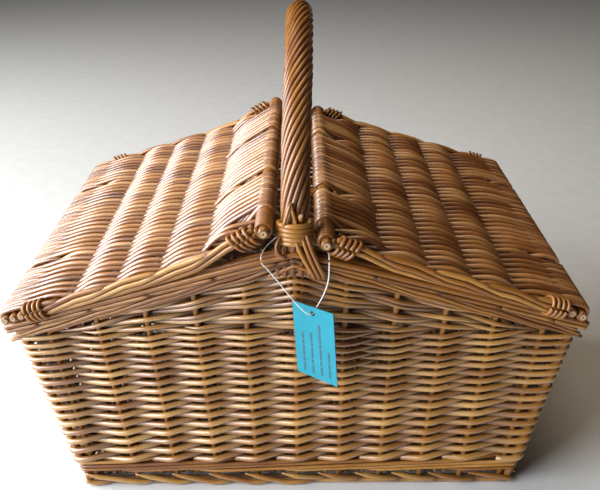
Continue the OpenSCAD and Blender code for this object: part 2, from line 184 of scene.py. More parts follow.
class Nodes:
    """A material with a principled shader, and short ways to add nodes to it."""

    def __init__(self, name):
        self.material = bpy.data.materials.new(name)
        self.material.use_nodes = True
        self.tree = self.material.node_tree
        self.shader = self.tree.nodes["Principled BSDF"]

    def add(self, kind, inputs, output=0, **settings):
        """A new node's output, with each of its inputs linked or set."""
        node = self.tree.nodes.new(kind)
        for key, value in settings.items():
            setattr(node, key, value)
        for key, value in inputs.items():
            if hasattr(value, "is_linked"):
                self.tree.links.new(value, node.inputs[key])
            else:
                node.inputs[key].default_value = value
        return node.outputs[output]

    def link(self, value, name):
        self.tree.links.new(value, self.shader.inputs[name])

    def set(self, name, value):
        self.shader.inputs[name].default_value = value

    def attribute(self, name, output="Fac"):
        return self.add("ShaderNodeAttribute", {}, output, attribute_name=name)

    def place(self):
        return self.add("ShaderNodeTexCoord", {}, "Object")

    def math(self, operation, a, b, clamp=False):
        return self.add("ShaderNodeMath", {0: a, 1: b}, operation=operation, use_clamp=clamp)

    def weighed(self, a, share, b):
        """A share of a, and the rest of b."""
        return self.math("ADD", self.math("MULTIPLY", a, share), self.math("MULTIPLY", b, 1.0 - share))

    def scaled(self, vector, scale):
        return self.add("ShaderNodeVectorMath", {0: vector, 1: scale}, operation="MULTIPLY")

    def noise(self, vector, scale, detail=2.0, rough=0.5):
        inputs = {"Vector": vector, "Scale": scale, "Detail": detail, "Roughness": rough}
        return self.add("ShaderNodeTexNoise", inputs, "Fac")

    def ramp(self, fac, stops):
        colour = self.add("ShaderNodeValToRGB", {"Fac": fac}, "Color")
        elements = colour.node.color_ramp.elements
        while len(elements) < len(stops):
            elements.new(0.5)
        for element, (place, shade) in zip(elements, stops):
            element.position = place
            element.color = (*shade, 1.0)
        return colour

    def span(self, value, from_low, from_high, to_low, to_high):
        limits = {"From Min": from_low, "From Max": from_high, "To Min": to_low, "To Max": to_high}
        return self.add("ShaderNodeMapRange", {"Value": value, **limits}, "Result", clamp=True)

    def mix(self, fac, a, b):
        a, b = ((*value, 1.0) if isinstance(value, tuple) else value for value in (a, b))
        return self.add("ShaderNodeMix", {"Factor": fac, "A": a, "B": b}, "Result", data_type="RGBA")

    def bump(self, height, distance, strength):
        inputs = {"Height": height, "Distance": distance, "Strength": strength}
        self.link(self.add("ShaderNodeBump", inputs, "Normal"), "Normal")


# Each colour ramp is from dark to light, and END_GRAIN is from the pith to the bark.
WEAVE_TONES = [
    (0.0, (0.14, 0.043, 0.005)), (0.3, (0.27, 0.104, 0.014)),
    (0.6, (0.4, 0.185, 0.032)), (1.0, (0.54, 0.3, 0.082))]
LID_TONES = [
    (0.0, (0.13, 0.037, 0.006)), (0.3, (0.26, 0.091, 0.018)),
    (0.6, (0.38, 0.16, 0.042)), (1.0, (0.5, 0.26, 0.1))]
BORDER_TONES = [
    (0.0, (0.14, 0.043, 0.005)), (0.4, (0.27, 0.104, 0.015)),
    (0.75, (0.39, 0.18, 0.034)), (1.0, (0.52, 0.28, 0.08))]
STICK_TONES = [
    (0.25, (0.12, 0.042, 0.008)), (0.5, (0.23, 0.09, 0.016)), (0.75, (0.35, 0.155, 0.034))]
END_GRAIN = [
    (0.0, (0.03, 0.012, 0.006)), (0.22, (0.06, 0.025, 0.01)), (0.3, (0.5, 0.33, 0.17)),
    (0.8, (0.42, 0.25, 0.11)), (0.9, (0.1, 0.04, 0.014))]
# Painted shade: the near black brown that recesses and crevices are darkened towards.
SHADE_DARK = (0.04, 0.011, 0.003)
STREAK = (0.3, 0.115, 0.035)
KNOT = (0.13, 0.05, 0.02)

# How fine a pattern is on a rod: per centimetre along it, per turn round it, and from rod to rod.
STREAKS_SCALE = (0.9, 9.0, 60.0)
PATCHES_SCALE = (0.32, 0.8, 31.0)
FINE_SCALE = (5.0, 22.0, 17.0)
KNOTS_SCALE = (2.1, 5.0, 43.0)


def varnished(mat, colour, streaks, fine, coat, specular, painted_shade=None):
    """The gloss that all the willow shares, duller where the painted shade mask is 1."""
    mat.link(colour, "Base Color")
    gloss = mat.span(streaks, 0.3, 0.7, 0.3, 0.44)
    if painted_shade is None:
        mat.link(gloss, "Roughness")
        mat.set("Coat Weight", coat)
    else:
        mat.link(mat.math("ADD", gloss, mat.math("MULTIPLY", painted_shade, 0.4), True), "Roughness")
        mat.link(mat.span(painted_shade, 0.0, 1.0, coat, 0.1), "Coat Weight")
    mat.set("Specular IOR Level", specular)
    mat.set("Coat Roughness", 0.24)
    mat.set("Coat IOR", 1.65)
    mat.bump(mat.weighed(streaks, 0.6, fine), 0.00025, 0.6)


def rod_willow(name, tones, coat, specular, crevice_shade_from):
    """Peeled, stained and varnished willow on the rods that Rods makes,
    with painted shade darkening its recesses and crevices.

    The painted shade of the crevices starts where a point's nearness to the next rod passes the last
    argument.
    """
    mat = Nodes(name)
    rod = mat.attribute("rod", "Vector")
    tone = mat.attribute("tone")
    streaks = mat.noise(mat.scaled(rod, STREAKS_SCALE), 1.0, 3.0, 0.6)
    patches = mat.noise(mat.scaled(rod, PATCHES_SCALE), 1.0, 2.0)
    fine = mat.noise(mat.scaled(rod, FINE_SCALE), 1.0, 2.0)
    knots = mat.noise(mat.scaled(rod, KNOTS_SCALE), 1.0, 1.0)
    base = mat.ramp(mat.math("ADD", tone, mat.span(patches, 0.3, 0.7, -0.16, 0.16), True), tones)
    streaked = mat.mix(mat.span(streaks, 0.35, 0.75, 0.0, 0.34), base, STREAK)
    knotted = mat.mix(mat.span(knots, 0.71, 0.76, 0.0, 0.75), streaked, KNOT)
    # Painted shade: the colour darkens where a rod passes behind others, and in the crevices between rods.
    crevice = mat.span(mat.attribute("crevice"), crevice_shade_from, 1.0, 0.0, 1.0)
    painted_shade = mat.math("MAXIMUM", mat.attribute("recess"), crevice)
    shaded = mat.mix(mat.math("MULTIPLY", painted_shade, 0.92, True), knotted, SHADE_DARK)
    grain = mat.ramp(mat.attribute("radial"), END_GRAIN)
    varnished(mat, mat.mix(mat.attribute("cut"), shaded, grain), streaks, fine, coat, specular, painted_shade)
    return mat.material


def stick_willow(name, axis_scale):
    """The same willow on CAD sticks, with the grain along one axis."""
    mat = Nodes(name)
    place = mat.place()
    streaks = mat.noise(mat.scaled(place, axis_scale), 1.0, 3.0, 0.6)
    patches = mat.noise(place, 28.0, 2.0)
    fine = mat.noise(place, 900.0, 2.0)
    base = mat.ramp(mat.weighed(streaks, 0.6, patches), STICK_TONES)
    varnished(mat, base, streaks, fine, coat=0.3, specular=0.45)
    return mat.material


def card_material():
    mat = Nodes("tag_card")
    place = mat.place()
    fibres = mat.noise(place, 1400.0, 3.0, 0.7)
    cloud = mat.noise(place, 90.0, 2.0)
    colour = mat.ramp(
        mat.weighed(fibres, 0.5, cloud), [(0.3, (0.016, 0.19, 0.26)), (0.7, (0.026, 0.225, 0.3))])
    mat.link(colour, "Base Color")
    mat.link(mat.span(fibres, 0.3, 0.7, 0.5, 0.65), "Roughness")
    mat.set("Specular IOR Level", 0.15)
    mat.bump(fibres, 0.00006, 0.5)
    return mat.material


def ink_material():
    mat = Nodes("tag_ink")
    speckle = mat.noise(mat.place(), 2600.0, 2.0)
    mat.link(mat.ramp(speckle, [(0.35, (0.012, 0.05, 0.075)), (0.7, (0.03, 0.12, 0.16))]), "Base Color")
    mat.set("Roughness", 0.6)
    return mat.material


def string_material():
    mat = Nodes("tag_string")
    inputs = {"Vector": mat.place(), "Scale": 900.0, "Distortion": 1.5}
    bands = mat.add("ShaderNodeTexWave", inputs, "Fac", bands_direction="DIAGONAL")
    mat.link(mat.ramp(bands, [(0.2, (0.6, 0.6, 0.58)), (0.8, (0.9, 0.9, 0.88))]), "Base Color")
    mat.set("Roughness", 0.7)
    mat.bump(bands, 0.0001, 0.7)
    return mat.material


# ---- rods


def unit(v):
    return v / np.maximum(np.linalg.norm(v, axis=-1, keepdims=True), 1e-9)


def xyz(x, y, z):
    """Points from their coordinates, each of which is one number or an array."""
    return np.column_stack(np.broadcast_arrays(x, y, z))


def smooth_line(points, at, samples):
    """A smooth curve through points at the parameters at, sampled at samples."""
    points = np.asarray(points, float)
    at = np.asarray(at, float)
    gaps = np.diff(at)[:, None]
    slopes = np.diff(points, axis=0) / gaps
    tangents = np.empty_like(points)
    tangents[0], tangents[-1] = slopes[0], slopes[-1]
    tangents[1:-1] = (slopes[:-1] * gaps[1:] + slopes[1:] * gaps[:-1]) / (gaps[:-1] + gaps[1:])
    i = np.clip(np.searchsorted(at, samples, side="right") - 1, 0, len(at) - 2)
    gap = gaps[i]
    t = (np.asarray(samples)[:, None] - at[i][:, None]) / gap
    a = 2 * t**3 - 3 * t**2 + 1
    b = t**3 - 2 * t**2 + t
    c = -2 * t**3 + 3 * t**2
    d = t**3 - t**2
    return a * points[i] + b * gap * tangents[i] + c * points[i + 1] + d * gap * tangents[i + 1]


def through(points, step=3.0):
    """A smooth curve through points, with a sample every step."""
    points = np.asarray(points, float)
    at = np.concatenate([[0.0], np.cumsum(np.linalg.norm(np.diff(points, axis=0), axis=1))])
    count = max(2, int(at[-1] / step) + 1)
    return smooth_line(points, at, np.linspace(0.0, at[-1], count))

CREVICE_SHADE_REACH = 1.6    # how far from the next rod the painted shade reaches
NEAR_RINGS = 7    # how many rings of rods are looked through for the next rod
END_BEVEL = 0.12    # a rod's ends are bevelled: this share of its radius further out,
END_NARROW = 0.8    # and narrowed to this share of it


def with_ends(values):
    """The values with the first and the last one twice."""
    return np.concatenate([values[:1], values, values[-1:]])


class Rods:
    """Round rods swept along lines, joined into one mesh."""

    def __init__(self, sides=8):
        self.sides = sides
        self.parts = []
        self.quads = []
        self.caps = []
        self.rings = []
        self.count = 0

    def add(self, line, radius, ref=Z, tone=None, recess=0.0, cut=(0.0, 0.0)):
        """Sweeps a rod along n points, with its radius and its painted shade as one number or n numbers.

        ref is a direction that the line never follows. cut is 1 at an end that shows its grain.
        """

        def spread(values):
            """Each ring's value for its points, and the end rings' for the caps' middles."""
            return np.concatenate([np.repeat(values, sides), values[[0, -1]]])

        line = np.asarray(line, float)
        n, sides = len(line), self.sides
        rings = n + 2
        radius = np.broadcast_to(np.asarray(radius, float), (n,))
        recess = np.broadcast_to(np.asarray(recess, float), (n,))
        tone = rng.uniform(0.15, 0.9) if tone is None else tone
        along = unit(np.gradient(line, axis=0))
        side = unit(np.cross(np.broadcast_to(ref, line.shape), along))
        up = np.cross(along, side)
        side, up, along, recess, radii, centres = map(with_ends, (side, up, along, recess, radius, line))
        centres[0] -= along[0] * END_BEVEL * radius[0]
        centres[-1] += along[-1] * END_BEVEL * radius[-1]
        radii[[0, -1]] *= END_NARROW
        turn = 2 * math.pi * np.arange(sides) / sides
        wheel = (np.cos(turn)[None, :, None] * side[:, None, :]
                 + np.sin(turn)[None, :, None] * up[:, None, :])
        ring_points = centres[:, None, :] + radii[:, None, None] * wheel
        points = np.concatenate([ring_points.reshape(-1, 3), centres[:1], centres[-1:]])
        steps = np.linalg.norm(np.diff(centres, axis=0), axis=1)
        length = np.concatenate([[0.0], np.cumsum(steps)]) / 10.0
        around = np.minimum(np.arange(sides), sides - np.arange(sides)) / sides
        rod = np.zeros((len(points), 3))
        rod[:, 0] = spread(length)
        rod[:-2, 1] = np.tile(around, rings)
        rod[:, 2] = rng.uniform(0.0, 1.0)
        ends = np.zeros(rings)
        ends[[0, -1]] = cut
        radial = np.ones(len(points))
        radial[-2:] = 0.0
        self.rings.append((centres, along, radii))
        self.parts.append((points, rod, np.full(len(points), tone), radial, spread(recess), spread(ends)))
        k = np.arange(sides)
        k2 = (k + 1) % sides
        i = np.arange(rings - 1)[:, None] * sides
        quads = np.stack([i + k, i + k2, i + sides + k2, i + sides + k], axis=-1).reshape(-1, 4)
        last_ring = (rings - 1) * sides
        middle = np.full(sides, rings * sides)
        caps = np.concatenate([
            np.stack([middle, k2, k], axis=-1),
            np.stack([middle + 1, last_ring + k, last_ring + k2], axis=-1)])
        self.quads.append(quads + self.count)
        self.caps.append(caps + self.count)
        self.count += len(points)

    def crevices(self, points):
        """How near each point lies to the next rod, a mask for painted shade: 1 in crevices between rods and
        0 in the open.
        """
        centres, along, radii = (np.concatenate(part) for part in zip(*self.rings))
        ring_owner = np.repeat(np.arange(len(self.rings)), [len(ring[0]) for ring in self.rings])
        point_owner = np.repeat(np.arange(len(self.parts)), [len(part[0]) for part in self.parts])
        tree = KDTree(len(centres))
        for i, centre in enumerate(centres.tolist()):
            tree.insert(centre, i)
        tree.balance()
        nearest = np.full(len(points), -1)
        for i, (point, owner) in enumerate(zip(points.tolist(), point_owner.tolist())):
            for _, found, _ in tree.find_n(point, NEAR_RINGS):
                if ring_owner[found] != owner:
                    nearest[i] = found
                    break
        away = points - centres[nearest]
        beside = away - (away * along[nearest]).sum(axis=1, keepdims=True) * along[nearest]
        gap = np.linalg.norm(beside, axis=1) - radii[nearest]
        return np.where(nearest < 0, 0.0, np.clip(1 - gap / CREVICE_SHADE_REACH, 0.0, 1.0))

    def build(self, name, material, body, slot, *replaces):
        """One Blender object of all the rods, riding on a body in place of CAD nodes."""
        points, rod, tone, radial, recess, cut = (np.concatenate(part) for part in zip(*self.parts))
        quads, caps = np.concatenate(self.quads), np.concatenate(self.caps)
        mesh = bpy.data.meshes.new(name)
        loops = np.concatenate([quads.ravel(), caps.ravel()]).astype(np.int32)
        cap_starts = quads.size + 3 * np.arange(len(caps))
        starts = np.concatenate([4 * np.arange(len(quads)), cap_starts]).astype(np.int32)
        mesh.vertices.add(len(points))
        mesh.vertices.foreach_set("co", (points * MM).astype(np.float32).ravel())
        mesh.loops.add(len(loops))
        mesh.loops.foreach_set("vertex_index", loops)
        mesh.polygons.add(len(starts))
        mesh.polygons.foreach_set("loop_start", starts)
        mesh.update(calc_edges=True)
        mesh.polygons.foreach_set("use_smooth", np.arange(len(starts)) < len(quads))
        numbers = {"tone": tone, "radial": radial, "recess": recess, "cut": cut,
                   "crevice": self.crevices(points)}
        for key, values in numbers.items():
            layer = mesh.attributes.new(key, "FLOAT", "POINT")
            layer.data.foreach_set("value", values.astype(np.float32))
        layer = mesh.attributes.new("rod", "FLOAT_VECTOR", "POINT")
        layer.data.foreach_set("vector", rod.astype(np.float32).ravel())
        mesh.validate()
        mesh.materials.append(material)
        obj = add_object(name, mesh)
        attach(obj, body)
        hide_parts(*replaces)


# ---- woven body

RAND_LOW, RAND_HIGH = 35.0, 183.5
LOW_PITCH = 12.0    # height between the rods that pass in front of one stake, at the foot
HIGH_PITCH = 7.0    # and at the top, where the rods are thinner
LOW_ROD_R, HIGH_ROD_R = 2.85, 1.9
RAND_TURNS = 4 * (RAND_HIGH - RAND_LOW) / (LOW_PITCH + HIGH_PITCH)
BACK_DIP = 2.0    # away from the front wall, how far a rod dips in front of a stake and rises behind one
BACK_THICK = 0.12    # and how much thicker it is there
POST_IN_X, POST_IN_Y = 4.6, 4.0    # from the wall's outside to a corner post's middle
CORNER_GAP = 15.0    # from a corner post to the first stake on the side wall
NEAR_CORNER = 0.36    # the fraction of a turn from a corner post to the stakes beside it
FRONT_TURNS = 10.0    # from one front corner to the other


def leaning(at_floor, at_rim):
    """Where a stake stands at z = 0, and how it leans."""
    return np.array(at_floor), (np.array(at_rim) - at_floor) / CORNER_H


def front_stake(k, side):
    """A stake of the front (side -1) or back (side 1) wall."""
    return leaning([k * STAKE_PITCH * FRONT_FAN, side * (half_d(0) - WALL_T / 2)],
                   [k * STAKE_PITCH, side * (half_d(CORNER_H) - WALL_T / 2)])


def side_stake(k, side):
    """A stake of the left (side -1) or right (side 1) wall."""
    return leaning([side * (half_w(0) - WALL_T / 2), k * SIDE_PITCH * SIDE_FAN],
                   [side * (half_w(CORNER_H) - WALL_T / 2), k * SIDE_PITCH])


def corner_post(sx, sy, inward=0.0):
    """A corner post, or a stake of the side wall that is inward of it by so much."""
    return leaning(*([sx * (half_w(z) - POST_IN_X), sy * (half_d(z) - POST_IN_Y - inward)]
                     for z in (0, CORNER_H)))


def weave_stations():
    """The stakes anticlockwise from the front left, each with its turn number and outward direction.

    The stakes beside a corner share the corner's side of the weave, so they come at fractions of a turn.
    """
    out = []

    def put(turn, sign_turn, stake, normal, reach=STAKE_R):
        out.append((turn, sign_turn, *stake, np.array(normal) / np.linalg.norm(normal), reach))

    turn = 0
    for sx, sy, across in ((1, -1, True), (1, 1, False), (-1, 1, True), (-1, -1, False)):
        beside = [(front_stake(5 * sx, sy), (0, sy)), (corner_post(sx, sy, CORNER_GAP), (sx, 0))]
        if across:
            wall = [(front_stake(k * sx, sy), (0, sy)) for k in range(-4, 5)]
        else:
            wall = [(side_stake(k * sy, sx), (sx, 0)) for k in range(-3, 4)]
            beside.reverse()
        for stake in wall:
            put(turn, turn, *stake)
            turn += 1
        put(turn - NEAR_CORNER, turn, *beside[0])
        put(turn, turn, corner_post(sx, sy), (sx, sy), POST_R)
        put(turn + NEAR_CORNER, turn, *beside[1])
        turn += 1
    return out, turn


STATIONS, TURNS = weave_stations()


def off_front(turn):
    """1 where this turn is away from the front wall, and 0 on it."""
    past_front = max(0.0, (turn + 1.0) % TURNS - FRONT_TURNS)
    before_front = TURNS - 1.0 - turn % TURNS
    return min(1.0, past_front, max(0.0, before_front))


def softened(line):
    """The line with its bends rounded a little, and its ends where they were."""
    out = line.copy()
    out[1:-1] = (line[:-2] + line[1:-1] + line[2:]) / 3
    return out


def woven_line(start, stop, height, sign, rod_r, per_turn=12):
    """A rod round the stakes, from turn start to turn stop.

    height(turn) gives z, and sign(turn) is 1 in front of a stake and -1 behind it.
    """
    at, places = [], []
    cycle = math.floor(start / TURNS) - 1
    while cycle * TURNS <= stop + 2:
        for turn, sign_turn, floor_xy, lean, normal, reach in STATIONS:
            t = cycle * TURNS + turn
            if start - 2.5 <= t <= stop + 2.5:
                s = sign(cycle * TURNS + sign_turn)
                at.append(t)
                places.append(floor_xy + lean * height(t) + normal * s * (reach + rod_r))
        cycle += 1
    samples = np.linspace(start, stop, max(2, int((stop - start) * per_turn)))
    flat = [np.interp(samples, at, axis) for axis in np.array(places).T]
    z = np.array([height(t) for t in samples])
    return samples, softened(np.column_stack([*flat, z]))


def weave_rand():
    """The walls' main weave: a rod from each stake climbs round the body, in front of one and behind one."""
    rods = Rods(8)
    for start in range(TURNS):
        jog = rng.uniform(-0.35, 0.35)

        def height(t):
            u = t - start
            climb = LOW_PITCH / 2 * u - (LOW_PITCH - HIGH_PITCH) / 4 * u * u / RAND_TURNS
            return RAND_LOW + jog + climb - BACK_DIP * off_front(t) * math.cos(math.pi * u)

        def sign(t):
            return 1.0 if (t - start) % 2 == 0 else -1.0

        samples, line = woven_line(start - 0.5, start + RAND_TURNS, height, sign, LOW_ROD_R)
        u = samples - start
        line[:, 2] += 0.25 * np.sin(u * 1.7 + start) + 0.15 * np.sin(u * 4.1 + 2 * start)
        share = (samples - samples[0]) / (samples[-1] - samples[0])
        radius = (LOW_ROD_R + (HIGH_ROD_R - LOW_ROD_R) * share) * (1 + 0.03 * np.sin(u * 2.3 + start))
        radius *= 1 + BACK_THICK * np.array([off_front(t) for t in samples])
        # painted shade, darkest where the rod passes behind a stake
        recess = 0.5 - 0.5 * np.cos(math.pi * u)
        rods.add(line, radius, tone=rng.uniform(0.3, 0.95), recess=recess**1.3)
    return rods


PACK_ROWS = 20
PACK_R = 1.95
PACK_LIFT = 0.9    # a packing row rises this much in front of a stake and dips behind one
PACK_LOW = 183.0
PACK_MIN = 22.0    # a row whose half length is less than this is left out
BORDER_DROP = 17.5


def pack_height(x):
    return np.maximum(rim_z(x) - BORDER_DROP - PACK_LOW, 0.0)


def pack_rows(x):
    """Heights and thicknesses of the gable's packing rows at x, and where each row ends."""
    x = np.atleast_1d(np.abs(x))
    full = pack_height(0.0)
    order = np.argsort([(i * 7) % PACK_ROWS for i in range(PACK_ROWS)])
    rank = np.empty(PACK_ROWS)
    rank[order] = np.arange(PACK_ROWS)
    ends = full * (1 - (PACK_ROWS - rank) / (PACK_ROWS + 1.0)) / RIM_SLOPE
    weight = np.clip((ends[None, :] - x[:, None]) / 50.0, 0.0, 1.0)
    total = weight.sum(axis=1, keepdims=True)
    middle = np.cumsum(weight, axis=1) - weight / 2
    level = middle / np.maximum(total, 1e-6)
    return PACK_LOW + pack_height(x)[:, None] * level, weight, ends


def weave_gable(rods, side):
    """The short rows that fill the wall between the main weave and the sloping border."""
    _, _, ends = pack_rows(0.0)
    depth = STAKE_R + PACK_R
    for row in range(PACK_ROWS):
        end = ends[row]
        if end < PACK_MIN:
            continue
        left, right = -end + 3 + rng.uniform(-6.0, 0.0), end - 3 + rng.uniform(0.0, 6.0)
        ks = [k for k in range(-5, 6) if left + 8 < k * STAKE_PITCH < right - 8]
        at = [left, *(k * STAKE_PITCH for k in ks), right]
        offs = [-2.0, *(depth * (1 if (k + row) % 2 == 0 else -1) for k in ks), -2.0]
        xs = np.linspace(left, right, max(8, int((right - left) / 3.3)))
        off = softened(np.interp(xs, at, offs))
        heights, weights, _ = pack_rows(xs)
        z = heights[:, row] + PACK_LIFT * off / depth + 0.3 * np.sin(xs * 0.031 + row)
        y = side * (half_d(z) - WALL_T / 2 + off)
        thick = PACK_R * (0.5 + 0.5 * np.clip(weights[:, row] * 1.6, 0, 1))
        # painted shade, darkest where the row passes behind a stake
        recess = np.clip(0.5 - off / (2 * depth), 0, 1)
        rods.add(xyz(xs, y, z), thick, recess=recess**1.3)


WALE_LOW, WALE_HIGH = 18.4, 31.4
WALE_R = 1.65
WALE_STEP = 2    # turns from one strand to the next
WALE_RUN = 6    # turns that a strand stays in front


def weave_wale():
    """The wale: long strands that rise side by side, and go behind a stake at each end."""
    rods = Rods(8)
    for first in range(0, TURNS, WALE_STEP):
        jog = rng.uniform(-0.6, 0.6)

        def sign(t):
            return 1.0 if 0 <= t - first <= WALE_RUN else -1.0

        def height(t):
            share = (t - first) / WALE_RUN
            return WALE_LOW + jog + (WALE_HIGH - WALE_LOW) * min(1.1, max(-0.1, share))

        _, line = woven_line(first - 1.4 + jog * 0.4, first + WALE_RUN + 1.4, height, sign, WALE_R)
        share = np.linspace(0.0, 1.0, len(line))
        radius = WALE_R * np.clip(np.minimum(share, 1 - share) * 12 + 0.35, 0.0, 1.0)
        rods.add(line, radius, tone=rng.uniform(0.0, 0.9))
        inner = line.copy()
        inward = unit(-inner[:, :2] / (half_w(0), half_d(0)))
        inner[:, :2] += inward * 2 * (STAKE_R + WALE_R)
        # the strand inside the wall, darkened with painted shade
        rods.add(inner, radius * 1.05, tone=0.3, recess=0.8)
    return rods


FOOT_RODS = 40
FOOT_LOW, FOOT_HIGH = 2.5, 14.6
FOOT_R = 2.4
FOOT_RUN = 2.6    # turns that a rod of the foot border runs
RING_R = 2.3
RINGS = ((3.4, 2.4), (7.5, 2.6))    # how far in, and how high, the rods inside the border lie
RING_CORNER = 4.0    # how far from a corner a ring's rod starts


def weave_foot():
    """The foot border: each rod starts at a pointed tip under the wale, and slants down to the edge."""
    rods = Rods(10)
    for k in range(FOOT_RODS):
        first = k * TURNS / FOOT_RODS
        reach = rng.uniform(1.0, 1.15)

        def height(t):
            return FOOT_LOW + (FOOT_HIGH - FOOT_LOW) * min(1.0, max(0.0, 1.0 - (t - first) / reach))

        def sign(t):
            return 1.0 if t < first + 1.4 else -0.6

        _, line = woven_line(first, first + FOOT_RUN, height, sign, FOOT_R, 16)
        share = np.linspace(0.0, 1.0, len(line))
        radius = FOOT_R * np.clip(0.2 + share * 7, 0.0, 1.0) * (1 - 0.2 * share)
        line[:, 2] = np.maximum(line[:, 2], radius + 0.05)
        rods.add(line, radius, tone=rng.uniform(0.2, 0.8), cut=(0.8, 0.0))
    for inset, z in RINGS:
        w, d = BASE_W / 2 + 1.5 - inset, BASE_D / 2 + 1.5 - inset
        corners = np.array([(w, -d), (w, d), (-w, d), (-w, -d)])
        for a, b in zip(corners, np.roll(corners, -1, axis=0)):
            run = unit(b - a)
            start = a + run * RING_CORNER * 0.25 + unit(-a) * 1.2
            distances = np.linspace(RING_CORNER, np.linalg.norm(b - a) - RING_CORNER, 40)
            rods.add([[*place, z] for place in (start, *(a + run * t for t in distances))], RING_R)
    return rods


# ---- rim


def rim_line(side, xs, drop, outward):
    """A line along the gable of the front (side -1) or back wall."""
    round_top = 9.0 * np.exp(-(xs / 26.0) ** 2) * RIM_SLOPE
    z = rim_z(xs) - drop - round_top * 0.6
    return xyz(xs, side * (half_d(z) + outward), z)


RIM_LANES = ((6.9, 11.2, 15.4, 19.0), (2.6, 2.2, 1.4, -1.5))    # below the rim, and out from the wall
RIM_STARTS = (-4.0, 3.0, 14.0, 62.0, 112.0, 160.0, 203.0)
RIM_ROD_R = 2.15
# A whole rod along the gable: how far in its ends are, samples, drop, outward, radius, tone, painted shade
# and cut.
GABLE_RODS = (
    ((0, 0), 160, 2.6, 2.4, 2.25, 0.3, 0.0, 1.0),
    ((7, 5), 150, 1.8, -2.7, 2.35, 0.15, 0.0, 1.0),
    ((10, 10), 150, 3.0, -8.2, 2.5, 0.3, 0.0, 0.0),
    ((12, 12), 150, 7.2, -9.8, 2.2, 0.3, 0.0, 0.0),
    # three rods inside the wall, at the darkest tone and wholly under painted shade
    *(((12, 12), 150, drop, -4.0, 2.3, 0.0, 1.0, 0.0) for drop in (6.0, 10.5, 15.0)))
PEAK_RANKS, PEAK_HALF = (1.0, 2.0), 60.0    # the rods over the peak: their lanes, and half their length


def newer_rods(distance, starts, before=4.0, over=34.0, first=0.0):
    """How many of the rods that begin at starts lie above a rod, at each distance along it."""
    newer = np.full_like(distance, first)
    for start in starts:
        newer += np.clip((distance - start + before) / over, 0.0, 1.0)
    return newer


def in_lane(newer, lanes):
    """Both measures of the lane that a rod lies in, under so many newer rods."""
    return [np.interp(newer, range(4), measure) for measure in lanes]


def gable_rim(side):
    rods = Rods(12)
    reach = RIM_W / 2 + 4.0
    for (left, right), count, drop, outward, radius, tone, recess, cut in GABLE_RODS:
        line = rim_line(side, np.linspace(-reach + left, reach - right, count), drop, outward)
        rods.add(line, radius, Y, tone=tone, recess=recess, cut=(cut, cut))
    for flank in (-1, 1):
        for i, start in enumerate(RIM_STARTS):
            stop = reach - 1.0 - 3.5 * (i % 3)
            distance = np.linspace(start, stop, max(10, int((stop - start) / 3)))
            newer = newer_rods(distance, RIM_STARTS[i + 1:])
            keep = newer <= 3.0
            distance, newer = distance[keep], newer[keep]
            if len(distance) < 6:
                continue
            drop, outward = in_lane(newer, RIM_LANES)
            drop += 0.35 * np.sin(distance * 0.045 + 2.1 * i)
            outward += 0.8 * np.exp(-((distance - start) / 14.0) ** 2)
            radius = RIM_ROD_R * np.clip(0.72 + (distance - start) / 22.0, 0.0, 1.0) * (1 - 0.05 * newer)
            line = rim_line(side, flank * distance, drop, outward)
            rods.add(line, 0.85 * radius, Y, tone=rng.uniform(0.15, 0.75), cut=(0.7, 0.5))
    middle = np.linspace(-PEAK_HALF, PEAK_HALF, 60)
    for rank in PEAK_RANKS:
        lane = rank + newer_rods(np.abs(middle), RIM_STARTS[:3])
        keep = lane <= 3.0
        line = rim_line(side, middle[keep], *in_lane(lane[keep], RIM_LANES))
        rods.add(line, 1.75, Y, tone=0.4, cut=(0.6, 0.6))
    return rods


SIDE_RODS = 10
SIDE_ROD_LENGTH = 112.0
SIDE_ROD_PITCH = 27.0
# A whole rod along the side: samples left out at each end, drop, how far out, radius and tone.
SIDE_CORES = (
    (0, 2.2, 2.2, 2.7, 0.35), (0, 1.9, -3.6, 2.5, 0.35), (4, 3.2, -8.8, 2.4, 0.3), (5, 7.4, -10.4, 2.2, 0.3))


def side_rim(side):
    rods = Rods(10)
    reach = RIM_D / 2 - 1.0

    def line(ys, drop, outward):
        z = CORNER_H - drop
        return xyz(side * (half_w(z) + outward), ys, z)

    ys = np.linspace(-reach, reach, 100)
    for trim, drop, outward, radius, tone in SIDE_CORES:
        rods.add(line(ys[trim:len(ys) - trim], drop, outward), radius, tone=tone)
    for i in range(SIDE_RODS):
        start = -reach + 4 + i * SIDE_ROD_PITCH
        stop = min(start + SIDE_ROD_LENGTH, reach)
        ys = np.linspace(start, stop, 40)
        share = (ys - start) / SIDE_ROD_LENGTH
        drop = np.interp(share, [0.0, 0.25, 0.6, 1.0], [6.2, 7.3, 11.0, 15.8])
        outward = np.interp(share, [0.0, 0.12, 0.3, 0.9, 1.0], [3.4, 3.0, 2.4, 2.0, 0.4])
        rods.add(line(ys, drop, outward), RIM_ROD_R * (1 - 0.2 * share), cut=(1.0, 0.6))
    return rods


# ---- base

BASE_MID = 8.0
BASE_STICK_YS = [(i - 2.5) * 41.0 for i in range(6)]
BASE_STICK_R = 3.6
BASE_ROD_R = 1.9
BASE_PITCH = 4.3


def weave_base():
    rods = Rods(7)
    reach = BASE_D / 2 - 8.0
    ys = np.linspace(-reach, reach, 62)
    at = [-reach, *BASE_STICK_YS, reach]
    for row in range(int((BASE_W - 14) / BASE_PITCH)):
        x = -BASE_W / 2 + 8 + BASE_PITCH * row
        offs = [0.0, *((BASE_STICK_R + 1.7) * (1 if (k + row) % 2 else -1) for k in range(6)), 0.0]
        off = smooth_line(np.array(offs)[:, None], at, ys)[:, 0]
        # the whole base is darkened a little with painted shade
        rods.add(xyz(x, ys, np.maximum(BASE_MID + off, 2.0)), BASE_ROD_R, X, recess=0.25)
    return rods


# ---- handle


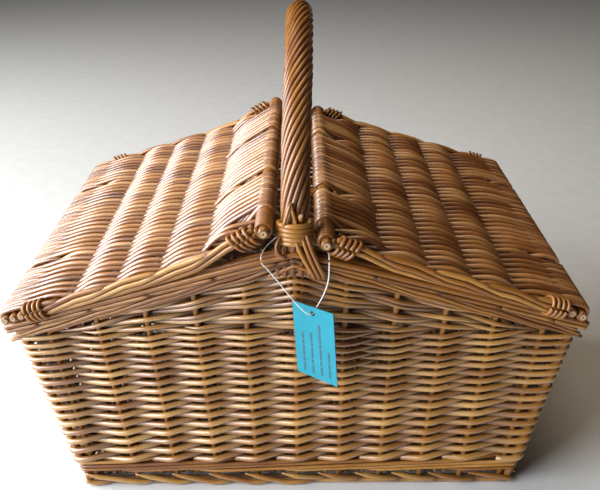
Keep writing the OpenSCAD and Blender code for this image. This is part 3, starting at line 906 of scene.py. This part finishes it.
def arch_frame(angle):
    """On the arch, angle radians up from the front foot: the place and the outward direction."""
    out = xyz(0.0, -np.cos(angle), np.sin(angle))
    return np.array([0.0, 0.0, ARCH_Z]) + ARCH_R * out, out


def round_arch(turn, out):
    """The direction that is turn radians round the arch from the right, by way of outward."""
    return np.cos(turn)[:, None] * X + np.sin(turn)[:, None] * out


STRANDS = 14
STRAND_R = 2.2
FOOT_ANGLE = math.radians(4.6)
HANDLE_TURNS = 3.0
HANDLE_LEAN = 4.5  # how far the top of the handle leans to the right


def twist_share(share):
    """How much of the handle's twist lies before share: little at the feet, more over the top."""
    return share - 0.028 * np.sin(4 * math.pi * share)


def roped_handle():
    rods = Rods(10)
    samples = 260
    angle = np.linspace(FOOT_ANGLE, math.pi - FOOT_ANGLE, samples)
    share = np.linspace(0.0, 1.0, samples)
    middle, out = arch_frame(angle)
    near_foot = np.minimum(share, 1 - share)
    neck = 0.97 - 0.14 * np.exp(-(near_foot / 0.05) ** 4)
    for i in range(STRANDS):
        turn = 2 * math.pi * (i / STRANDS - HANDLE_TURNS * twist_share(share))
        radius = (HANDLE_R - STRAND_R) * neck + 0.18 * np.sin(9 * share + 2.4 * i)
        away = round_arch(turn, out)
        line = middle + radius[:, None] * away + (HANDLE_LEAN * np.sin(angle) ** 2)[:, None] * X
        rods.add(line, STRAND_R * (1 + 0.05 * np.sin(5 * share + i)), away, tone=rng.uniform(0.0, 0.45))
    return rods


BINDING_TURNS = 5
BINDING_ROD_R = 1.95
BINDING_LOW, BINDING_HIGH = math.radians(7.3), math.radians(13.1)
BINDING_RADIUS = 12.1


def foot_binding(side):
    """Five turns of one rod round the handle's foot."""
    rods = Rods(10)
    share = np.linspace(0.0, 1.0, 44 * BINDING_TURNS)
    turn = 2 * math.pi * BINDING_TURNS * share + 0.6
    stepped = np.floor(share * BINDING_TURNS) + np.clip((share * BINDING_TURNS % 1.0 - 0.8) / 0.2, 0, 1)
    level = BINDING_LOW + (BINDING_HIGH - BINDING_LOW) * stepped / BINDING_TURNS
    middle, out = arch_frame(level)
    radius = BINDING_RADIUS + 0.5 * np.sin(math.pi * stepped / BINDING_TURNS)
    line = middle + radius[:, None] * round_arch(turn, out)
    rods.add(mirrored(line, side), BINDING_ROD_R, arch_ref(side), tone=0.62)
    return rods


def mirrored(line, side):
    """The same line at the front foot (side -1) or the back foot (side 1)."""
    return np.asarray(line) * (1.0, -side, 1.0)


def arch_ref(side):
    return np.array([0.0, side * 0.12, 1.0])


PEG_TOPS, PEG_ENDS = (2.0, 7.5, 11.0), (13.5, 16.8, 21.0)
PEG_TONES = (0.5, 0.35, 0.25)
PEG_R, LOOP_R, UPRIGHT_R, TAIL_R = 1.75, 1.5, 2.2, 1.35
TAILS = ((-8.5, -3.4, 17.4), (1.2, -3.0, 17.9))    # where a tail starts and ends across, and its last angle


def foot_pegs(side):
    """What holds the foot to the rim: three slanting pegs, a loop and the strands' tails."""
    rods = Rods(10)
    wall = half_d(PEAK_H)

    def put(places, r, tone, step=1.5):
        """places are across, out from the wall and up from its peak."""
        line = through([[x, -(wall + out), PEAK_H + up] for x, out, up in places], step)
        rods.add(mirrored(line, side), r, Y, tone=tone)

    for top, end, tone in zip(PEG_TOPS, PEG_ENDS, PEG_TONES):
        put([(top - 2.5, 1.0, 11), (top, 4.6, 4), ((top + end) / 2, 7.0, -8), (end, 5.6, -20),
             (end + 1.2, 2.4, -24)], PEG_R, tone)
    put([(-11.0, 1.0, 9), (-13.6, 3.6, 4), (-12.6, 5.2, -1), (-8.0, 4.6, -5), (-7.0, 1.0, -7)], LOOP_R, 0.1)
    for x in (-12.5, -7.5, -2.0, 4.0, 10.0):
        put([(0.8 * x, -4, 12), (x, -1, 2), (1.05 * x, -2, -24)], UPRIGHT_R, 0.05, step=3.0)
    for x0, x1, high in TAILS:
        angle = np.radians(np.linspace(12.0, high, 8))
        middle, out = arch_frame(angle)
        away = np.interp(angle, angle[[0, 3, 7]], [11.0, 12.2, 12.8])
        line = middle + away[:, None] * out + np.linspace(x0, x1, 8)[:, None] * X
        rods.add(mirrored(line, side), TAIL_R, Y, tone=0.5, cut=(0.0, 0.6))
    middle, out = arch_frame(np.radians([13.0, 13.9, 14.7]))
    line = middle + np.array([8.0, 10.6, 12.8])[:, None] * out + 4.3 * X
    rods.add(mirrored(line, side), 1.9, X, tone=0.7, cut=(0.0, 1.0))
    return rods


# ---- lids

LID_ROW = 4.35
LID_ROD_R = 2.17
LID_HALF_D = 158.0
SLOT_YS = (-84.0, 80.0)    # where the weave stops short of the outer sticks
ROLL_END = 133.0    # the weave goes round the hinge stick up to here, and then the stick is wrapped
EDGE_END = 204.0    # the edge rods end inside the outer bindings
HINGE_REACH = 168.0    # half the hinge stick's length
OUTER_STICKS = {"left": ((212.4, 218.8, 225.2), 2.9), "right": ((212.8, 221.4), 3.8)}
KNEE_HALF = 16.0    # half the length over which the knee is rounded


class Lid:
    """Places on a lid: x from the middle outwards, y back, n off its middle surface."""

    def __init__(self, name):
        self.name = name
        self.side = -1.0 if name == "left" else 1.0
        self.hinge_z = HINGE_Z[name]
        knee_z = PEAK_H - RIM_SLOPE * KNEE_X + LID_REST
        self.slope_in = (knee_z - self.hinge_z) / (KNEE_X - HINGE_X)

    def middle(self, x):
        """Height of the lid's middle surface, with the knee rounded, and its slope."""
        t = np.clip((np.asarray(x, float) - KNEE_X + KNEE_HALF) / (2 * KNEE_HALF), 0.0, 1.0)
        change = -RIM_SLOPE - self.slope_in
        z = self.hinge_z + self.slope_in * (x - HINGE_X) + change * KNEE_HALF * t * t
        z = z + change * np.maximum(x - KNEE_X - KNEE_HALF, 0.0)
        return z, self.slope_in + change * t

    def at(self, x, y, n):
        z, slope = self.middle(x)
        size = np.sqrt(1 + slope**2)
        return xyz(self.side * (x - n * slope / size), y, z + n / size)

    def around(self, x, y, radius, angle):
        """Round a stick at x: angle 90 degrees is on top, and 180 is towards the hinge."""
        z, slope = self.middle(x)
        tilt = math.atan(slope)
        c, s = np.cos(angle + tilt), np.sin(angle + tilt)
        return xyz(self.side * (x + radius * c), y, z + radius * s)


def in_gap(y, gaps, half):
    return any(abs(y - g) < half for g in gaps)


WRAP_STEPS = 7


def lid_weave(lid):
    """Rods from the hinge stick to the outer sticks, over and under the ribs, that turn round both ends."""
    rods = Rods(8)
    outer_xs, outer_r = OUTER_STICKS[lid.name]
    over_outer = outer_r + LID_ROD_R - 0.8
    rows = int(2 * LID_HALF_D / LID_ROW) + 1
    start_y = -LID_ROW * (rows - 1) / 2
    for row in range(rows):
        y = start_y + LID_ROW * row
        signs = [1 if (i + row) % 2 else -1 for i in range(len(RIB_XS))]
        hinge_gap = in_gap(y, LOOP_YS[lid.name], 6.3)
        corner_gap = abs(y) > ROLL_END
        outer_gap = in_gap(y, SLOT_YS, 4.6)
        if corner_gap:
            xs, ns = [HINGE_X + 5.0 + 0.85 * (abs(y) - ROLL_END)], [-1.5]
        elif hinge_gap:
            xs, ns = [30.5], [-3.2 * signs[0]]
        else:
            xs, ns = [HINGE_X], [HINGE_R + LID_ROD_R]
        for x, sign in zip(RIB_XS, signs):
            if x > xs[0] + 9.0:
                xs.append(x)
                ns.append(sign * (RIB_R + LID_ROD_R))
        if outer_gap:
            xs += [outer_xs[0] - 8.0]
            ns += [1.0]
        else:
            xs += [outer_xs[0], outer_xs[-1]]
            ns += [over_outer, over_outer]
        samples = np.linspace(xs[0], xs[-1], int((xs[-1] - xs[0]) / 3.0))
        n = smooth_line(np.array(ns)[:, None], xs, samples)[:, 0]
        edge = np.clip((LID_HALF_D - abs(y)) / 12.0, 0.0, 1.0)
        waves = 0.5 * np.sin(samples * 0.035 + 1.3 * (row // 3)) + 0.28 * np.sin(samples * 0.09 + 2.7 * row)
        sway = edge * (waves + rng.uniform(-0.3, 0.3))
        parts = [lid.at(samples, y + sway, n)]
        # painted shade, deepest where the rod passes under a rib, and slight on the wraps round the sticks
        shade_depths = [np.clip(0.5 - n / 9.0, 0, 1)]
        if not (hinge_gap or corner_gap):
            wrap = np.radians(np.linspace(90, 235, WRAP_STEPS + 1))[1:]
            parts.insert(0, lid.around(HINGE_X, y + sway[0], HINGE_R + LID_ROD_R, wrap)[::-1])
            shade_depths.insert(0, np.full(WRAP_STEPS, 0.1))
        if not outer_gap:
            wrap = np.radians(np.linspace(90, -95, WRAP_STEPS + 1))[1:]
            parts.append(lid.around(outer_xs[-1], y + sway[-1], over_outer, wrap))
            shade_depths.append(np.full(WRAP_STEPS, 0.1))
        radius = LID_ROD_R * rng.uniform(0.92, 1.05)
        tone = rng.uniform(0.0, 1.0) ** 1.2
        rods.add(np.concatenate(parts), radius, Y, tone=tone, recess=0.7 * np.concatenate(shade_depths) ** 1.5)
    return rods


EDGE_STARTS = (29.0, 29.5, 58.0, 98.0, 138.0, 176.0)
EDGE_CUT_FROM = 40.0    # the rods that start past here start with a cut end
EDGE_LANES = ((3.9, -0.2, -4.3, -6.0), (0.4, 1.6, 0.6, -2.0))    # off the lid, and out from its edge


def lid_edge(lid, side):
    """The border rods: two start at the inner binding and four further out, and all reach the outer one."""
    rods = Rods(10)
    y0 = LID_HALF_D + 2.4
    for i, start in enumerate(EDGE_STARTS):
        cut_start = start > EDGE_CUT_FROM
        stop = EDGE_END + 1.2 * (i % 3)
        xs = np.linspace(start, stop, max(8, int((stop - start) / 3)))
        newer = newer_rods(xs, EDGE_STARTS[max(i + 1, 2):], 8.0, 26.0, 1.0 if i == 0 else 0.0)
        n, y = in_lane(newer, EDGE_LANES)
        radius = 2.15 * np.interp((xs - start) / 190.0, [0, 1], [1.05, 0.85])
        if cut_start:
            n = n - 3.2 * np.exp(-((xs - start) / 9.0) ** 2)
            radius = radius * np.clip(0.55 + (xs - start) / 20.0, 0.0, 1.0)
        rods.add(lid.at(xs, side * (y0 + y), n), radius, Y, cut=(float(cut_start), 1.0))
    return rods


def cuff_turn(lid, side, x, lean, bulge, high, low, near, far):
    """One turn round the edge rods: lean moves its top outwards along the lid, and bulge its face."""
    a = np.linspace(0.25, 2 * math.pi + 0.05, 32)
    c, s = np.cos(a), np.sin(a)
    n = (high + low) / 2 + (high - low) / 2 * np.sign(s) * np.abs(s) ** 0.85
    y = LID_HALF_D + (near + far) / 2 + (far - near) / 2 * np.sign(c) * np.abs(c) ** 0.9
    return lid.at(x + lean * s + bulge * c, side * y, n)


CUFF_TURNS = 4
CUFF_PITCH = 3.75
CUFF_ROD_R = 1.5
# The inner and the outer binding: x, then cuff_turn's measures, and the tone.
CUFFS = ((31.5, 3.0, 0.4, 7.6, -7.8, -2.6, 7.9, 0.25), (194.0, 0.8, 1.5, 7.2, -7.6, -3.0, 7.7, 0.35))


def lid_bindings(lid):
    """Four turns of a thin rod at each end of both edges."""
    rods = Rods(8)
    for side in (-1, 1):
        for i in range(CUFF_TURNS):
            fan = 0.3 * (i - 1.5)
            for x, lean, *measures, tone in CUFFS:
                turn = cuff_turn(lid, side, x + CUFF_PITCH * i, lean + fan, *measures)
                rods.add(turn, CUFF_ROD_R, X, tone=tone)
    return rods


def lid_sticks(lid):
    """The hinge stick, wrapped at both ends."""
    rods = Rods(14)
    ys = np.linspace(-HINGE_REACH, HINGE_REACH, 60)
    rods.add(xyz(lid.side * HINGE_X, ys, lid.hinge_z), HINGE_R, tone=0.2, cut=(1.0, 1.0))
    turns = 8
    for side in (-1, 1):
        a = np.linspace(0, 2 * math.pi * turns, 24 * turns)
        y = side * np.linspace(ROLL_END + 1.5, HINGE_REACH - 5.5, len(a))
        rods.add(lid.around(HINGE_X, y, HINGE_R + 1.4, a + 0.8), 1.65, Y, tone=0.15)
    return rods


def outer_ends(lid):
    """The sticks at the lid's outer end."""
    rods = Rods(14)
    xs, r = OUTER_STICKS[lid.name]
    reach = LID_HALF_D + 5.0
    ys = np.linspace(-reach, reach, 50)
    for x in xs:
        z, _ = lid.middle(x)
        bow = 0.4 * np.sin(ys * 0.02 + x)
        rods.add(xyz(lid.side * x, ys, z - 1.2 + bow), r, tone=0.15, cut=(1.0, 1.0))
    return rods


# ---- hang tag

STRING_R = 0.45
SWING_Y, SWING_Z = -170.5, 259.0
HANG_X = 25.0
LOOP_LEFT = [
    [-HANG_X, SWING_Y + 1.5, SWING_Z + 0.6], [-HANG_X, -164, 260.8], [-24, -158, 260.8],
    [-22, -150, 260.8], [-17, -141, 261.8], [-10, -136, 265]]
LOOP_ROUTE = [*LOOP_LEFT, [0, -134, 266], *([-x, y, z] for x, y, z in reversed(LOOP_LEFT))]
HANG_ROUTE = [
    [-HANG_X, SWING_Y, SWING_Z - 1], [-20, -170.5, 252], [-12.5, -171, 242],
    [-5, -172.2, 231.5], [2, -173.4, 222.8], [7.5, -174.4, 217.4], [11.4, -173.9, 215.3],
    [14, -170.8, 215.6], [16.2, -168.8, 219.5], [21, -168.6, 229.5], [24.6, -169.4, 243],
    [HANG_X, SWING_Y, SWING_Z - 1]]


def catmull(points, steps):
    """The same smooth line through the route's points as in the CAD."""
    p = np.asarray(points, float)
    out = []
    for i in range(len(p) - 1):
        a, b, c, d = p[max(i - 1, 0)], p[i], p[i + 1], p[min(i + 2, len(p) - 1)]
        for t in np.arange(steps) / steps:
            out.append(0.5 * (2 * b + (c - a) * t + (2 * a - 5 * b + 4 * c - d) * t * t
                              + (3 * b - a - 3 * c + d) * t**3))
    out.append(p[-1])
    return np.array(out)


def string_piece(name, route, body, steps):
    """A cord of the tag's string along a route, with its piece and its length."""
    line = catmull(route, steps)
    curve = bpy.data.curves.new(name, "CURVE")
    curve.dimensions = "3D"
    spline = curve.splines.new("POLY")
    spline.points.add(len(line) - 1)
    for point, place in zip(spline.points, line):
        point.co = (*(place * MM), 1.0)
    curve.bevel_depth = STRING_R * MM
    curve.bevel_resolution = 2
    curve.use_fill_caps = True
    obj = add_object(name, curve)
    curve.materials.append(string_material())
    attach(obj, body)
    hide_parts(name.replace("_cord", ""))
    length = np.linalg.norm(np.diff(line, axis=0), axis=1).sum() * MM
    return obj, length


TAG_CENTRE = np.array([14.5, -173.5, 189.0])
TAG_YAW = math.radians(40)
TAG_ROLL = math.radians(-4.5)
TAG_T = 0.6
BAR_W = 2.1
BAR_BACK, BAR_FRONT = -0.05, 0.06    # from the card's face
# A line of bars lies so far across the card, from its low end to its high end.
# A piece starts so far up its line, and has this length.
BAR_LINES = ((-11.5, -28.0, 7.0), (-3.0, -28.0, 10.0), (5.5, -27.0, 18.0), (13.5, -27.0, -3.0))
BAR_PIECES = ((0.0, 7.5), (8.6, 4.2), (13.8, 9.5), (24.4, 3.6), (29.0, 8.0), (38.0, 7.0))
BOX_FACES = ((3, 2, 1, 0), (4, 5, 6, 7), (0, 1, 5, 4), (1, 2, 6, 5), (2, 3, 7, 6), (3, 0, 4, 7))


def tag_bars():
    """Plain bars in place of the card's print, four broken lines that run up the card."""
    yaw, roll = TAG_YAW, TAG_ROLL
    right = np.array([math.cos(yaw), -math.sin(yaw), 0.0])
    out = np.array([-math.sin(yaw), -math.cos(yaw), 0.0])
    across = math.cos(roll) * right - math.sin(roll) * Z
    up = math.sin(roll) * right + math.cos(roll) * Z
    face = TAG_CENTRE + out * (TAG_T / 2)
    half = BAR_W / 2
    points, faces = [], []
    for x, line_low, line_high in BAR_LINES:
        for start, size in BAR_PIECES:
            low, high = line_low + start, min(line_low + start + size, line_high)
            if low >= line_high - 1:
                continue
            corners = [(x - half, low), (x + half, low), (x + half, high), (x - half, high)]
            faces += [[len(points) + k for k in corner] for corner in BOX_FACES]
            points += [(face + across * a + up * b + out * lift) * MM
                       for lift in (BAR_BACK, BAR_FRONT) for a, b in corners]
    mesh = bpy.data.meshes.new("tag_bars")
    mesh.from_pydata([tuple(p) for p in points], [], faces)
    mesh.materials.append(ink_material())
    obj = add_object("tag_bars", mesh)
    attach(obj, "tag")
    return obj


def hang_tag():
    loop, loop_length = string_piece("tag_loop_cord", LOOP_ROUTE, "basket", 3)
    string, string_length = string_piece("tag_string_cord", HANG_ROUTE, "tag", 4)
    bars = tag_bars()
    card = frame["nodes"]["hang_tag"]
    assign(card, card_material())
    np.array(LOOP_ROUTE[0]) * MM


def assign(obj, material):
    for slot in obj.material_slots:
        slot.material = material


# ---- the whole basket


def make_basket():
    weave = rod_willow("willow_weave", WEAVE_TONES, 0.75, 1.0, 0.0)
    lids = rod_willow("willow_lids", LID_TONES, 0.75, 1.0, 0.0)
    border = rod_willow("willow_border", BORDER_TONES, 0.3, 0.45, 0.25)

    def borders(rods, name, body, stands_for):
        rods.build(name, border, body, "willow_borders", stands_for)

    rand = weave_rand()
    for side in (-1, 1):
        weave_gable(rand, side)
    walls = [f"{side}_wall" for side in ("front", "back", "left", "right")]
    rand.build("body_weave", weave, "basket", "willow_weave", *walls)
    borders(weave_wale(), "wale", "basket", "bottom_wale")
    weave_foot().build("foot", weave, "basket", "willow_borders", "foot_border")
    for make, words in ((gable_rim, ("front", "back")), (side_rim, ("left", "right"))):
        for side, word in zip((-1, 1), words):
            borders(make(side), f"rim_{word}", "basket", f"{word}_rim")
    weave_base().build("base", weave, "basket", "willow_weave", "base_weave")
    borders(roped_handle(), "handle_rope", "basket", "handle_strands")
    for side, word in ((-1, "front"), (1, "back")):
        borders(foot_binding(side), f"binding_{word}", "basket", f"{word}_handle_binding")
        borders(foot_pegs(side), f"pegs_{word}", "basket", f"{word}_handle_pegs")
    for name in ("left", "right"):
        lid = Lid(name)
        body = f"{name}_lid"
        lid_weave(lid).build(f"{name}_weave", lids, body, "willow_weave", f"{name}_lid_weave")
        for side, word in ((-1, "front"), (1, "back")):
            borders(lid_edge(lid, side), f"{name}_edge_{word}", body, f"{name}_{word}_edge")
        borders(lid_bindings(lid), f"{name}_bindings", body, f"{name}_edge_bindings")
        lid_sticks(lid).build(f"{name}_stick", border, body, "willow_weave", f"{name}_hinge_stick")
        outer_ends(lid).build(f"{name}_outer", border, body, "willow_sticks", f"{name}_outer_sticks")


ALONG, ACROSS = 40.0, 900.0    # how fine the grain is


def finish_sticks():
    """The CAD's own sticks keep their shape and get grain along their length."""
    upright = stick_willow("sticks_upright", (ACROSS, ACROSS, ALONG))
    along_x = stick_willow("sticks_along_x", (ALONG, ACROSS, ACROSS))
    along_y = stick_willow("sticks_along_y", (ACROSS, ALONG, ACROSS))
    groups = {
        upright: ("corner_posts", "front_stakes", "back_stakes", "left_stakes", "right_stakes",
                  "handle_core", "left_hinge_loops", "right_hinge_loops"),
        along_x: ("base_sticks",),
        along_y: ("left_ribs", "right_ribs", "ridge_bar"),
    }
    for material, names in groups.items():
        for name in names:
            assign(frame["nodes"][name], material)


make_camera()
make_lights()
make_floor()
hang_tag()
make_basket()
finish_sticks()
